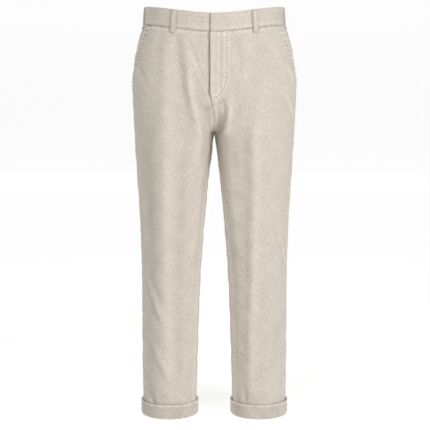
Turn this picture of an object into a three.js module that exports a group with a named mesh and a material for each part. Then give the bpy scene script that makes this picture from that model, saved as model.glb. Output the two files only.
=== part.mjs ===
// Corduroy trousers, hollow and filled out as worn, with turned-up cuffs.
// Millimetres, +Z up. The front faces -Y and +X is the wearer's left.
// The origin is the middle of the waist, half way up the waistband at the sides.

import * as THREE from 'three';

// Driving sizes
const clothThickness = 1.8;
const seamGap = 0.37;
const bandThickness = 3;
const bandHeight = 40;
const bandProud = 0.8;
const hemDown = 922.5;
const cuffHeight = 33.5;

// Heights along the body, as distances down from the middle of the waistband
const bandTop = -bandHeight / 2;
const bandSeam = bandHeight / 2;
const riseStart = 180;
const forkRow = 280;
const forkDepth = 262;
const levelRow = 380;
const legShapeFrom = 130;
const legShapeTo = 345;

// How far the waist edge dips below its height at the side seams
const frontDip = 15;
const backDip = 10;
const dipSharpness = 2.5;

// The fly: where the left front's edge lies, left of the middle, and the slot beside it
const flyEdge = 8.5;
const flySlot = 1.8;
const flyBottom = 178;
const bandUnderlap = 35;
const bandSink = bandThickness + 0.6;
const bandSinkUntil = 9.5;
const bandLevelFrom = 21.5;
const shieldUnderRight = 16;
const shieldUnderLeft = 30;
const shieldSink = 2.8;
const shieldEnd = 176;

// Places round the body are shares of the way from the front middle or the inseam (0) past the side (0.5)
// to the back (1). On the legs the fronts are narrower than the backs, so both seams lie forward.
const sideSeam = 0.5;
const seamsForward = 0.062;
const seamsForwardFrom = 420;

// The pocket mouths, and the side pieces tucked under them
const mouthAtBand = 0.405;
const mouthBottom = 174;
const mouthCurve = 2;
const pocketTuck = 14;
const pocketSink = 3;

// Outer sizes of the cloth, a row for each section. down: distance below the waist. side: half the width
// over both legs. front and back: reach from the middle plane. middle: where a leg's own centre lies.
// gap: half the space between the legs. square: how boxy the section is, 2 being an ellipse.
const sections = [
  { down: -20, side: 154.3, front: 112, back: 110, middle: 0, gap: 0, square: 2.3 },
  { down: 20, side: 157.3, front: 113, back: 114, middle: 0, gap: 0, square: 2.3 },
  { down: 36, side: 165, front: 113.5, back: 117.5, middle: 0, gap: 0, square: 2.45 },
  { down: 63, side: 172.7, front: 114, back: 123, middle: 0, gap: 0, square: 2.6 },
  { down: 99, side: 180.3, front: 115, back: 130, middle: 1, gap: 0, square: 2.65 },
  { down: 135, side: 185, front: 115, back: 135, middle: 3, gap: 0, square: 2.65 },
  { down: 160, side: 186.3, front: 114, back: 136.5, middle: 5, gap: 0, square: 2.6 },
  { down: 200, side: 185.3, front: 110.5, back: 135, middle: 7, gap: 0.35, square: 2.5 },
  { down: 262, side: 182.6, front: 103, back: 124, middle: 8, gap: 0.5, square: 2.35 },
  { down: 281, side: 181.5, front: 100.5, back: 119.5, middle: 8, gap: 3.4, square: 2.3 },
  { down: 318, side: 180, front: 96, back: 111.5, middle: 7.5, gap: 7.8, square: 2.2 },
  { down: 373, side: 177, front: 90.5, back: 101.5, middle: 6, gap: 13.6, square: 2.15 },
  { down: 448, side: 172.3, front: 84, back: 90, middle: 3, gap: 20.8, square: 2.1 },
  { down: 523, side: 169.5, front: 76.5, back: 79, middle: 1, gap: 27, square: 2.1 },
  { down: 598, side: 168, front: 70, back: 71.5, middle: 0, gap: 32, square: 2.1 },
  { down: 674, side: 168, front: 66.5, back: 67.5, middle: 0, gap: 35.6, square: 2.1 },
  { down: 788, side: 168, front: 64.5, back: 65, middle: 0, gap: 39.2, square: 2.1 },
  { down: 865, side: 167.2, front: 64.5, back: 65, middle: 0, gap: 41.4, square: 2.1 },
  { down: 923, side: 167, front: 64.8, back: 65.2, middle: 0, gap: 42, square: 2.1 },
];

// The largest folds. Each is a soft trough or ridge from one place on the cloth to another.
// side: 1 on the wearer's left, -1 on the right. around and down: the place. out: height over
// the cloth, less than nothing for a trough. wide: half its width.
const folds = [
  { side: -1, around: [0.25, 0.268], down: [50, 240], out: 3.6, wide: 16 },
  { side: -1, around: [0.27, 0.279], down: [200, 590], out: 5.2, wide: 16 },
  { side: -1, around: [0.279, 0.258], down: [550, 875], out: 4.8, wide: 16 },
  { side: -1, around: [0.345, 0.365], down: [200, 590], out: -4.2, wide: 16 },
  { side: -1, around: [0.365, 0.372], down: [560, 860], out: -3, wide: 15 },
  { side: -1, around: [0.208, 0.178], down: [50, 150], out: -2, wide: 10 },
  { side: -1, around: [0.213, 0.211], down: [240, 590], out: -4.6, wide: 12 },
  { side: -1, around: [0.208, 0.188], down: [560, 870], out: -3.6, wide: 12 },
  { side: -1, around: [0.152, 0.142], down: [80, 250], out: 6, wide: 11 },
  { side: -1, around: [0.14, 0.158], down: [200, 340], out: 5.2, wide: 12 },
  { side: -1, around: [0.182, 0.19], down: [120, 300], out: -3.4, wide: 12 },
  { side: -1, around: [0.125, 0.115], down: [320, 600], out: 3.4, wide: 15 },
  { side: -1, around: [0.115, 0.1], down: [580, 860], out: 2.4, wide: 15 },
  { side: 1, around: [0.252, 0.241], down: [170, 450], out: 4.6, wide: 12 },
  { side: 1, around: [0.241, 0.217], down: [410, 660], out: 5, wide: 12 },
  { side: 1, around: [0.215, 0.193], down: [620, 875], out: 4.8, wide: 13 },
  { side: 1, around: [0.215, 0.202], down: [210, 450], out: -2.6, wide: 12 },
  { side: 1, around: [0.2, 0.178], down: [410, 660], out: -1.6, wide: 12 },
  { side: 1, around: [0.175, 0.155], down: [620, 870], out: -1.2, wide: 12 },
  { side: 1, around: [0.1, 0.14], down: [180, 280], out: 5.8, wide: 13 },
  { side: 1, around: [0.14, 0.14], down: [260, 520], out: 4.6, wide: 14 },
  { side: 1, around: [0.058, 0.08], down: [190, 310], out: -3, wide: 11 },
  { side: 1, around: [0.37, 0.42], down: [105, 160], out: 2.2, wide: 12 },
  { side: -1, around: [0.93, 0.8], down: [235, 300], out: -3.2, wide: 16 },
  { side: 1, around: [0.94, 0.79], down: [240, 292], out: -3.6, wide: 17 },
  { side: -1, around: [0.76, 0.74], down: [330, 600], out: -3.4, wide: 19 },
  { side: 1, around: [0.74, 0.77], down: [350, 640], out: -3, wide: 18 },
  { side: 1, around: [0.82, 0.66], down: [640, 720], out: -2.6, wide: 14 },
  { side: -1, around: [0.68, 0.82], down: [650, 745], out: -3, wide: 14 },
];

// Belt loops, by where each one stands round the waist. The middle one is centred on the back seam.
const loops = [
  { name: 'front', sides: [1, -1], around: 0.234 },
  { name: 'side', sides: [1, -1], around: 0.5 },
  { name: 'back', sides: [1, -1], around: 0.765 },
  { name: 'middle', sides: [1], around: 1 },
];
const loopWidth = 12;
// A loop from its top end to its foot: a strip folded to four layers. down: distance below the waist.
// out and under: how far its outer face and its underside stand off the panels' form.
const loopPath = [
  { down: -19.2, out: 4.2, under: 1.2 },
  { down: -14, out: 4.7, under: 1.2 },
  { down: -6, out: 5.3, under: 1.6 },
  { down: 4, out: 5.5, under: 1.8 },
  { down: 13, out: 5.3, under: 1.6 },
  { down: 20, out: 4.5, under: 1.2 },
  { down: 25, out: 3.5, under: 0.75 },
  { down: 31, out: 3.2, under: 0.65 },
];

// A turned-up cuff, cut across: out from the leg's outer face, and up from the bottom fold
const cuffOutline = [
  { out: 1.5, up: cuffHeight },
  { out: 3.4, up: cuffHeight + 0.4 },
  { out: 4.1, up: cuffHeight - 1.2 },
  { out: 4.3, up: 20 },
  { out: 4.1, up: 5 },
  { out: 2.6, up: 1 },
  { out: -0.9, up: 0 },
  { out: -3.6, up: 1 },
  { out: -4.6, up: 4 },
  { out: -4.6, up: 13 },
  { out: -2.8, up: 13 },
  { out: -2.6, up: 3.2 },
  { out: 0.7, up: 3.2 },
  { out: 1.1, up: 20 },
];
const legEndUp = 3.6;

// How the folds die away: near the middle seams, below the band and above the cuffs
const foldFreeOfSeam = 0.035;
const foldFreeOfBand = { from: 30, to: 70 };
const foldFreeOfCuff = { from: 855, to: 885 };
const foldTip = 0.35;

// How finely the cloth is divided
const panelColumns = 16;
const pocketColumns = 6;
const bandColumns = { left: 38, right: 44 };
const shieldColumns = 4;
const loopColumns = 2;
const cuffSegments = 32;
const rowStep = 20;
const rowZones = [
  { to: riseStart, step: rowStep },
  { to: forkRow, step: 11 },
  { to: levelRow, step: rowStep },
  { to: hemDown - legEndUp, step: 30 },
];

const corduroy = { color: '#cfc5b8', roughness: 0.92, metalness: 0 };

const mix = (a, b, share) => a + (b - a) * share;
const clamp = (value, low, high) => Math.min(high, Math.max(low, value));

function ease(from, to, value) {
  const share = clamp((value - from) / (to - from), 0, 1);
  return share * share * (3 - 2 * share);
}

// A column of the sections table at any height, through a smooth curve with no overshoot
function size(column, down) {
  const last = sections.length - 2;
  let row = 0;
  while (row < last && sections[row + 1].down < down) row += 1;
  const rise = (at) => {
    const low = sections[Math.max(at - 1, 0)];
    const high = sections[Math.min(at + 1, last + 1)];
    return (high[column] - low[column]) / (high.down - low.down);
  };
  const low = sections[row];
  const high = sections[row + 1];
  const span = high.down - low.down;
  const share = clamp((down - low.down) / span, 0, 1);
  const square = share * share;
  const cube = square * share;
  return (2 * cube - 3 * square + 1) * low[column] + (cube - 2 * square + share) * span * rise(row)
    + (3 * square - 2 * cube) * high[column] + (cube - square) * span * rise(row + 1);
}

// 0 where the cloth goes round both legs, 1 where it closes round one. The middle seams turn in
// along the rise, and the rest of the cloth goes over to the legs more slowly.
function legShare(down, nearEnd = 0) {
  const turn = clamp((down - riseStart) / (forkRow - riseStart), 0, 1);
  const alongRise = 1 - Math.cos((turn * Math.PI) / 2);
  return mix(ease(legShapeFrom, legShapeTo, down), alongRise, nearEnd ** 3);
}

// Height of a row's two ends: down the middle seams, along the rise to the fork, then down the inseam
function endHeight(down) {
  if (down <= riseStart) return -down;
  if (down <= forkRow) {
    const turn = (down - riseStart) / (forkRow - riseStart);
    return -riseStart - (forkDepth - riseStart) * Math.sin((turn * Math.PI) / 2);
  }
  if (down <= levelRow) return -mix(forkDepth, levelRow, (down - forkRow) / (levelRow - forkRow));
  return -down;
}

// Distance from a section's centre to its edge, in the direction of an angle from the front or the inseam
function reach(across, deep, power, angle) {
  const alongDeep = (Math.abs(Math.cos(angle)) / deep) ** power;
  const alongAcross = (Math.abs(Math.sin(angle)) / across) ** power;
  return (alongDeep + alongAcross) ** (-1 / power);
}

// Dip of the waist edge towards the front and back middles
function waistDip(around, down) {
  const facing = Math.cos(around * Math.PI);
  const dip = facing > 0 ? frontDip : backDip;
  return dip * Math.abs(facing) ** dipSharpness * (1 - ease(bandSeam, riseStart, down));
}

// The smooth form of one half, before folds
function bareForm(side, around, down) {
  const nearEnd = 1 - ease(0, 0.3, Math.min(Math.abs(around), Math.abs(1 - around)));
  const share = legShare(down, nearEnd);
  const outer = size('side', down);
  const front = size('front', down);
  const back = size('back', down);
  const middle = size('middle', down);
  const square = size('square', down);
  const endZ = endHeight(down);

  const bodyAngle = around * Math.PI;
  const bodyReach = reach(outer, Math.cos(bodyAngle) > 0 ? front : back, square, bodyAngle);
  const bodyX = bodyReach * Math.sin(bodyAngle);
  const bodyY = -bodyReach * Math.cos(bodyAngle);

  const gap = size('gap', -endZ);
  const halfLeg = (outer - gap) / 2;
  const legAngle = around * 2 * Math.PI;
  const legDeep = Math.sin(legAngle) > 0 ? front + middle : back - middle;
  const legReach = reach(legDeep, halfLeg, square, legAngle);
  const legX = gap + halfLeg - legReach * Math.cos(legAngle);
  const legY = middle - legReach * Math.sin(legAngle);

  const z = mix(-down, endZ, nearEnd) - waistDip(around, down);
  return new THREE.Vector3(side * mix(bodyX, legX, share), mix(bodyY, legY, share), z);
}

// Length of a row, from the front or inseam end to the back one
function girth(down) {
  const outer = size('side', down);
  const deep = (size('front', down) + size('back', down)) / 2;
  const body = (Math.PI / 2) * (outer + deep);
  const leg = Math.PI * ((outer - size('gap', down)) / 2 + deep);
  return mix(body, leg, legShare(down));
}

function foldHeight(side, around, down) {
  const turn = around > 1 ? around - 1 : around;
  const nearEnd = Math.min(turn, 1 - turn);
  const free = ease(0, foldFreeOfSeam, nearEnd) * ease(foldFreeOfBand.from, foldFreeOfBand.to, down)
    * (1 - ease(foldFreeOfCuff.from, foldFreeOfCuff.to, down));
  const round = girth(down);
  let height = 0;
  for (const fold of folds) {
    if (fold.side !== side) continue;
    const runAround = (fold.around[1] - fold.around[0]) * round;
    const runDown = fold.down[1] - fold.down[0];
    const offAround = (turn - fold.around[0]) * round;
    const offDown = down - fold.down[0];
    const along = (offAround * runAround + offDown * runDown) / (runAround ** 2 + runDown ** 2);
    const near = clamp(along, 0, 1);
    const away = Math.hypot(offAround - near * runAround, offDown - near * runDown);
    const taper = mix(foldTip, 1, Math.sin(Math.PI * near));
    height += fold.out * taper * Math.exp(-((away / fold.wide) ** 2));
  }
  return height * free;
}

function outward(side, shape, around, down) {
  const step = 1.5;
  const aside = step / girth(down);
  const alongRow = shape(around + aside, down).sub(shape(around - aside, down));
  const alongDown = shape(around, down + step).sub(shape(around, down - step));
  return alongDown.cross(alongRow).normalize().multiplyScalar(side);
}

// A place on the folded cloth, and the direction that faces out of it
function cloth(side, around, down) {
  const bare = (a, d) => bareForm(side, a, d);
  const folded = (a, d) => bare(a, d).addScaledVector(outward(side, bare, a, d), foldHeight(side, a, d));
  return { point: folded(around, down), normal: outward(side, folded, around, down) };
}

function closedMesh(name, points, faces) {
  const geometry = new THREE.BufferGeometry();
  geometry.setAttribute('position', new THREE.Float32BufferAttribute(points.flatMap((p) => p.toArray()), 3));
  geometry.setIndex(faces);
  geometry.computeVertexNormals();
  const mesh = new THREE.Mesh(geometry, new THREE.MeshStandardMaterial(corduroy));
  mesh.name = name;
  return mesh;
}

const onForm = () => 0;
const asCloth = () => clothThickness;

// A wall of cloth: rows of places from a left end to a right one, raised off the form by rise
function clothWall(name, { side, downs, left, right, columns, rise = onForm, thickness = asCloth }) {
  const points = [];
  const width = columns + 1;
  for (const layer of [0, 1]) {
    for (const down of downs) {
      for (let column = 0; column < width; column += 1) {
        const around = mix(left(down), right(down), column / columns);
        const { point, normal } = cloth(side, around, down);
        points.push(point.addScaledVector(normal, rise(around, down) - layer * thickness(down)));
      }
    }
  }
  const sheet = width * downs.length;
  const faces = [];
  const quad = (a, b, c, d) => (side > 0 ? faces.push(a, b, c, a, c, d) : faces.push(a, c, b, a, d, c));
  for (let row = 0; row < downs.length - 1; row += 1) {
    const start = row * width;
    for (let at = start; at < start + columns; at += 1) {
      quad(at, at + width, at + width + 1, at + 1);
      quad(at + sheet, at + sheet + 1, at + sheet + width + 1, at + sheet + width);
    }
    quad(start, start + sheet, start + width + sheet, start + width);
    const end = start + columns;
    quad(end, end + width, end + width + sheet, end + sheet);
  }
  const bottom = sheet - width;
  for (let column = 0; column < columns; column += 1) {
    quad(column, column + 1, column + 1 + sheet, column + sheet);
    const at = bottom + column;
    quad(at, at + sheet, at + 1 + sheet, at + 1);
  }
  return closedMesh(name, points, faces);
}

// Places along the cloth between two heights, no further apart than step
function spread(from, to, step) {
  const count = Math.ceil((to - from) / step - 0.01);
  return Array.from({ length: count + 1 }, (_, at) => mix(from, to, at / count));
}

// Share of the way round at which the smooth form is a given distance from the middle plane
function shareAt(across, down) {
  let low = -0.25;
  let high = 0.25;
  for (let pass = 0; pass < 30; pass += 1) {
    const tried = (low + high) / 2;
    if (bareForm(1, tried, down).x < across) low = tried;
    else high = tried;
  }
  return (low + high) / 2;
}

const seamShare = (down) => seamGap / 2 / girth(down);
const sideName = (side) => (side > 0 ? 'left' : 'right');
const flyFade = (down) => 1 - ease(flyBottom - 20, flyBottom + 50, down);
const inseamAt = (down) => seamsForward * ease(forkRow, seamsForwardFrom, down);
const sideSeamAt = (down) => sideSeam - seamsForward * ease(riseStart, seamsForwardFrom, down);

// The front edge of each front panel: at the fly above, at the middle seam below it, then at the inseam
function frontEdge(side, down) {
  const across = side > 0 ? -flyEdge : flyEdge + flySlot;
  const overlap = shareAt(across, Math.min(down, flyBottom)) * flyFade(down);
  return overlap + inseamAt(down) + seamShare(down);
}

// The outer edge of a front panel: the pocket mouth, which curves out to the side seam, then the seam
function mouthEdge(down) {
  const share = clamp((down - bandSeam) / (mouthBottom - bandSeam), 0, 1);
  return mix(mouthAtBand, sideSeamAt(down), share ** mouthCurve);
}

function panelRows() {
  const rows = [bandSeam + seamGap / 2];
  for (const zone of rowZones) rows.push(...spread(rows.at(-1), zone.to, zone.step).slice(1));
  return rows;
}

function frontPanel(side) {
  return clothWall(`front_${sideName(side)}`, {
    side,
    downs: panelRows(),
    left: (down) => frontEdge(side, down),
    right: (down) => mouthEdge(down) - seamShare(down),
    columns: panelColumns,
  });
}

function backPanel(side) {
  return clothWall(`back_${sideName(side)}`, {
    side,
    downs: panelRows(),
    left: (down) => sideSeamAt(down) + seamShare(down),
    right: (down) => 1 + inseamAt(down) - seamShare(down),
    columns: panelColumns,
  });
}

// The pocket's side piece lies under the front panel's mouth and ends at the side seam
function pocketSide(side) {
  return clothWall(`pocket_side_${sideName(side)}`, {
    side,
    downs: panelRows().filter((down) => down <= riseStart),
    left: (down) => mouthEdge(down) - pocketTuck / girth(down),
    right: (down) => sideSeam - seamShare(down),
    columns: pocketColumns,
    rise: () => -pocketSink,
  });
}

// Half the waistband. The right half's end sinks, to pass under the left one at the fly.
function bandHalf(side) {
  const innerEnd = side > 0 ? -flyEdge : -bandUnderlap;
  const sunkUntil = shareAt(bandSinkUntil, 0);
  const levelFrom = shareAt(bandLevelFrom, 0);
  const sunk = (around) => (side > 0 ? 0 : 1 - ease(sunkUntil, levelFrom, around));
  return clothWall(`waistband_${sideName(side)}`, {
    side,
    downs: spread(bandTop, bandSeam - seamGap / 2, bandHeight / 3),
    left: (down) => shareAt(innerEnd, down),
    right: (down) => 1 - seamShare(down),
    columns: bandColumns[sideName(side)],
    rise: (around) => bandProud - bandSink * sunk(around),
    thickness: () => bandThickness,
  });
}

// The facing behind the fly, under both of its edges
function flyShield() {
  return clothWall('fly_shield', {
    side: -1,
    downs: spread(bandSeam + seamGap, shieldEnd, rowStep),
    left: (down) => shareAt(-shieldUnderLeft, down),
    right: (down) => shareAt(shieldUnderRight, down),
    columns: shieldColumns,
    rise: () => -shieldSink,
  });
}

function beltLoop(side, place) {
  const half = (down) => loopWidth / 2 / girth(down);
  const spotAt = (down) => loopPath.find((spot) => spot.down === down);
  const name = place.sides.length > 1 ? `${place.name}_${sideName(side)}` : `back_${place.name}`;
  return clothWall(`belt_loop_${name}`, {
    side,
    downs: loopPath.map((spot) => spot.down),
    left: (down) => place.around - half(down),
    right: (down) => place.around + half(down),
    columns: loopColumns,
    rise: (around, down) => spotAt(down).out,
    thickness: (down) => spotAt(down).out - spotAt(down).under,
  });
}

// A cuff: its cut swept round the end of the leg
function cuff(side) {
  const points = [];
  for (let at = 0; at < cuffSegments; at += 1) {
    for (const spot of cuffOutline) {
      const { point, normal } = cloth(side, at / cuffSegments, hemDown - spot.up);
      points.push(point.addScaledVector(normal.setZ(0).normalize(), spot.out));
    }
  }
  const ring = cuffOutline.length;
  const faces = [];
  for (let at = 0; at < cuffSegments; at += 1) {
    const next = ((at + 1) % cuffSegments) * ring;
    for (let spot = 0; spot < ring; spot += 1) {
      const a = at * ring + spot;
      const b = at * ring + ((spot + 1) % ring);
      const c = next + ((spot + 1) % ring);
      const d = next + spot;
      if (side > 0) faces.push(a, b, c, a, c, d);
      else faces.push(a, c, b, a, d, c);
    }
  }
  return closedMesh(`cuff_${sideName(side)}`, points, faces);
}

const group = new THREE.Group();
for (const side of [1, -1]) {
  group.add(frontPanel(side), backPanel(side), pocketSide(side), bandHalf(side), cuff(side));
}
group.add(flyShield());
for (const place of loops) {
  for (const side of place.sides) group.add(beltLoop(side, place));
}

export default group;
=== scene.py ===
import math

import bpy
import numpy as np
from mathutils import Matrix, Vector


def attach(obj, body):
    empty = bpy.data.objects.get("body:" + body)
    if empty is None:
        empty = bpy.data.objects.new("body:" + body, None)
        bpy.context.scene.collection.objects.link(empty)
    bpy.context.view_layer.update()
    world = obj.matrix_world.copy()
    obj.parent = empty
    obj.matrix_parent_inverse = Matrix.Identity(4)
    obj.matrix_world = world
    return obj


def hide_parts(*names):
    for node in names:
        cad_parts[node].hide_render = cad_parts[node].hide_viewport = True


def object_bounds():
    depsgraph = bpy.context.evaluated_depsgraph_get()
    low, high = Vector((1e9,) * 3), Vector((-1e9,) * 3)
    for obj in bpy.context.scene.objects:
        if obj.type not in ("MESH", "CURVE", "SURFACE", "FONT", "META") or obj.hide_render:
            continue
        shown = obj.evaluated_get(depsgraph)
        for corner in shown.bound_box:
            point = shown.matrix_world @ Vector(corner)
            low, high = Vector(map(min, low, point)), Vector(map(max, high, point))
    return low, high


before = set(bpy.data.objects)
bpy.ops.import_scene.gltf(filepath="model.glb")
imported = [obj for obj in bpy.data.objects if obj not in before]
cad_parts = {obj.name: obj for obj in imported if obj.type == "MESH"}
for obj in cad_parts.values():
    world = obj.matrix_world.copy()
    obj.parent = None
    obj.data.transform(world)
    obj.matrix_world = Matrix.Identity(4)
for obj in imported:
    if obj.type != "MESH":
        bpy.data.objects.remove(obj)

cad_box = [list(corner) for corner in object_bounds()]

# Camera
# The photo's view: level with the lower hips, three metres in front of the trousers and tipped
# down a little, so that the tops of the cuffs and the front of the waist edge show.
camera_place = (0.0015, -3.0, -0.06)
camera_tip = math.radians(7.5)
camera_lens = 109.6

bpy.ops.object.select_all(action="DESELECT")
bpy.ops.object.camera_add(location=camera_place, rotation=(math.pi / 2 - camera_tip, 0, 0))
camera = bpy.context.active_object
camera.name = "front_camera"
camera.data.lens = camera_lens
camera.data.sensor_width = 36
bpy.context.scene.camera = camera

# Floor and backdrop
# One sheet of plain white studio paper: a floor just under the cuffs that sweeps up into a wall.
hem_height = cad_box[0][2]
floor_height = hem_height - 0.001
floor_half = 7.0
wall_height = 7.0
sweep_radius = 1.6


def set_inputs(node, values):
    for label, value in values.items():
        node.inputs[label].default_value = value


def new_finish(name):
    """A material, with its node tree and its surface node."""
    finish = bpy.data.materials.new(name)
    finish.use_nodes = True
    return finish, finish.node_tree, finish.node_tree.nodes["Principled BSDF"]


def select_back_edge():
    """Select the sheet's edge at the foot of the wall."""
    bpy.ops.mesh.select_all(action="DESELECT")
    bpy.ops.object.mode_set(mode="OBJECT")
    for edge in backdrop.data.edges:
        ends = [backdrop.data.vertices[index].co for index in edge.vertices]
        edge.select = all(end.y > 0 and end.z < floor_height + 0.01 for end in ends)
    bpy.ops.object.mode_set(mode="EDIT")


bpy.ops.mesh.primitive_plane_add(size=2 * floor_half, location=(0, 0, floor_height))
backdrop = bpy.context.active_object
backdrop.name = "studio_paper"
bpy.ops.object.transform_apply(location=True, rotation=True, scale=True)
bpy.ops.object.mode_set(mode="EDIT")
bpy.ops.mesh.select_mode(type="EDGE")
select_back_edge()
bpy.ops.mesh.extrude_region_move(TRANSFORM_OT_translate={"value": (0, 0, wall_height)})
select_back_edge()
bpy.ops.mesh.bevel(offset=sweep_radius, segments=24, profile=0.5)
bpy.ops.object.mode_set(mode="OBJECT")
bpy.ops.object.shade_smooth()
paper, _, paper_surface = new_finish("studio_paper")
set_inputs(paper_surface, {"Base Color": (0.42, 0.42, 0.42, 1), "Roughness": 0.9,
                           "Emission Color": (1, 1, 1, 1), "Emission Strength": 0.74})
backdrop.data.materials.append(paper)

# Light
# A large soft box at the front right, which leaves the left of each leg a little darker, a weak
# one from the left, one from above, and even white light from all round.
world = bpy.data.worlds.new("studio")
bpy.context.scene.world = world
world.use_nodes = True
set_inputs(world.node_tree.nodes["Background"], {"Color": (1, 1, 1, 1), "Strength": 0.24})


def soft_box(name, place, aim, width, height, power):
    bpy.ops.object.light_add(type="AREA", location=place)
    light = bpy.context.active_object
    light.name = name
    light.data.shape = "RECTANGLE"
    light.data.size = width
    light.data.size_y = height
    light.data.energy = power
    towards = [goal - start for goal, start in zip(aim, place)]
    across = math.atan2(towards[1], towards[0])
    rise = math.atan2(towards[2], math.hypot(towards[0], towards[1]))
    light.rotation_euler = (math.pi / 2 + rise, 0, across - math.pi / 2)


soft_box("key_light", (2.25, -2.58, 0.8), aim=(0, 0, -0.4), width=1.0, height=1.8, power=69)
soft_box("fill_light", (-1.4, -3.3, 0.4), aim=(0, 0, -0.5), width=1.8, height=2.2, power=6)
soft_box("top_light", (-0.8, -1.15, 2.4), aim=(0, 0, -0.4), width=1.6, height=1.4, power=36)
bpy.context.scene.view_settings.view_transform = "Standard"
bpy.context.scene.view_settings.look = "None"

# Corduroy
# Pale beige cotton with fine raised wales and a short matt pile. It is washed after sewing, so it
# is mottled. It is lighter on what stands up and darker in what lies deep, partly from the wash's
# wear and partly as painted highlight and painted shade. The wales follow the cloth's own map, in
# metres along and across the grain.
wale_pitch = 0.0014
wale_drift = 0.0006
# How fine each layer of the mottling is, and how much it lightens or darkens the cloth. The last
# amount is for each piece's wear, which also holds painted highlight and painted shade.
drift_scale, streak_scale, pile_scale, heather_scale, patch_scale = 60, 420, 1500, 290, 24
middle_tone = 0.6
wale_tone, streak_tone, heather_tone, patch_tone, wear_and_shade_tone = 0.07, 0.3, 0.74, 0.12, 0.38
streak_stretch = (1, 0.22, 1)
middle_roughness, pile_roughness = 0.9, 0.12
wale_relief, heather_relief = 0.35, 1.1
cloth_light = (0.77, 0.71, 0.63, 1)
cloth_dark = (0.33, 0.285, 0.23, 1)


def new_group(name, inputs, outputs):
    group = bpy.data.node_groups.new(name, "ShaderNodeTree")
    for label, kind, value in inputs:
        socket = group.interface.new_socket(label, in_out="INPUT", socket_type=kind)
        if value is not None:
            socket.default_value = value
    for label, kind in outputs:
        group.interface.new_socket(label, in_out="OUTPUT", socket_type=kind)
    return group, group.nodes.new("NodeGroupInput"), group.nodes.new("NodeGroupOutput")


def compute(tree, operation, first, second=None, third=None):
    node = tree.nodes.new("ShaderNodeMath")
    node.operation = operation
    for slot, value in enumerate((first, second, third)):
        if value is None:
            continue
        if isinstance(value, (int, float)):
            node.inputs[slot].default_value = value
        else:
            tree.links.new(value, node.inputs[slot])
    return node.outputs["Value"]


def cloud(tree, place, scale, detail):
    node = tree.nodes.new("ShaderNodeTexNoise")
    tree.links.new(place, node.inputs["Vector"])
    set_inputs(node, {"Scale": scale, "Detail": detail, "Roughness": 0.55})
    return compute(tree, "SUBTRACT", node.outputs["Fac"], 0.5)


nap_group, nap_in, nap_out = new_group(
    "washed_corduroy",
    [("Grain", "NodeSocketVector", None), ("Place", "NodeSocketVector", None),
     ("Wear and shade", "NodeSocketFloat", 0.0), ("Pitch", "NodeSocketFloat", wale_pitch),
     ("Light", "NodeSocketColor", cloth_light), ("Dark", "NodeSocketColor", cloth_dark)],
    [("Color", "NodeSocketColor"), ("Roughness", "NodeSocketFloat"), ("Height", "NodeSocketFloat")])
grain = nap_group.nodes.new("ShaderNodeSeparateXYZ")
nap_group.links.new(nap_in.outputs["Grain"], grain.inputs["Vector"])
drift = cloud(nap_group, nap_in.outputs["Place"], drift_scale, 2)
across_wales = compute(nap_group, "MULTIPLY_ADD", drift, wale_drift, grain.outputs["X"])
turns = compute(nap_group, "DIVIDE", across_wales, nap_in.outputs["Pitch"])
wale = compute(nap_group, "SINE", compute(nap_group, "MULTIPLY", turns, 2 * math.pi))
stretched = nap_group.nodes.new("ShaderNodeVectorMath")
stretched.operation = "MULTIPLY"
nap_group.links.new(nap_in.outputs["Grain"], stretched.inputs[0])
stretched.inputs[1].default_value = streak_stretch
streak = cloud(nap_group, stretched.outputs["Vector"], streak_scale, 3)
pile = cloud(nap_group, nap_in.outputs["Place"], pile_scale, 2)
heather = cloud(nap_group, nap_in.outputs["Place"], heather_scale, 3)
patches = cloud(nap_group, nap_in.outputs["Place"], patch_scale, 3)
tone = middle_tone
for layer, amount in ((wale, wale_tone), (streak, streak_tone), (heather, heather_tone),
                      (patches, patch_tone), (nap_in.outputs["Wear and shade"], wear_and_shade_tone)):
    tone = compute(nap_group, "MULTIPLY_ADD", layer, amount, tone)
shade = nap_group.nodes.new("ShaderNodeMix")
shade.data_type = "RGBA"
nap_group.links.new(tone, shade.inputs["Factor"])
nap_group.links.new(nap_in.outputs["Dark"], shade.inputs["A"])
nap_group.links.new(nap_in.outputs["Light"], shade.inputs["B"])
nap_group.links.new(shade.outputs["Result"], nap_out.inputs["Color"])
rough = compute(nap_group, "MULTIPLY_ADD", pile, pile_roughness, middle_roughness)
nap_group.links.new(rough, nap_out.inputs["Roughness"])
relief_sum = compute(nap_group, "MULTIPLY_ADD", wale, wale_relief, pile)
relief_sum = compute(nap_group, "MULTIPLY_ADD", heather, heather_relief, relief_sum)
nap_group.links.new(relief_sum, nap_out.inputs["Height"])


corduroy, cloth_tree, cloth_surface = new_finish("corduroy")
nap = cloth_tree.nodes.new("ShaderNodeGroup")
nap.node_tree = nap_group
set_inputs(nap, {"Light": cloth_light, "Dark": cloth_dark, "Pitch": wale_pitch})
grain_node = cloth_tree.nodes.new("ShaderNodeUVMap")
grain_node.uv_map = "grain"
place_node = cloth_tree.nodes.new("ShaderNodeTexCoord")
wear_and_shade_node = cloth_tree.nodes.new("ShaderNodeAttribute")
wear_and_shade_node.attribute_name = "wear_and_shade"
bump = cloth_tree.nodes.new("ShaderNodeBump")
set_inputs(bump, {"Strength": 0.55, "Distance": 0.0005})
for source, target in (
        (grain_node.outputs["UV"], nap.inputs["Grain"]),
        (place_node.outputs["Object"], nap.inputs["Place"]),
        (wear_and_shade_node.outputs["Fac"], nap.inputs["Wear and shade"]),
        (nap.outputs["Color"], cloth_surface.inputs["Base Color"]),
        (nap.outputs["Roughness"], cloth_surface.inputs["Roughness"]),
        (nap.outputs["Height"], bump.inputs["Height"]),
        (bump.outputs["Normal"], cloth_surface.inputs["Normal"])):
    cloth_tree.links.new(source, target)
set_inputs(cloth_surface, {"Sheen Weight": 0.22, "Sheen Roughness": 0.45,
                           "Sheen Tint": (1, 0.96, 0.9, 1), "Specular IOR Level": 0.15})

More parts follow.
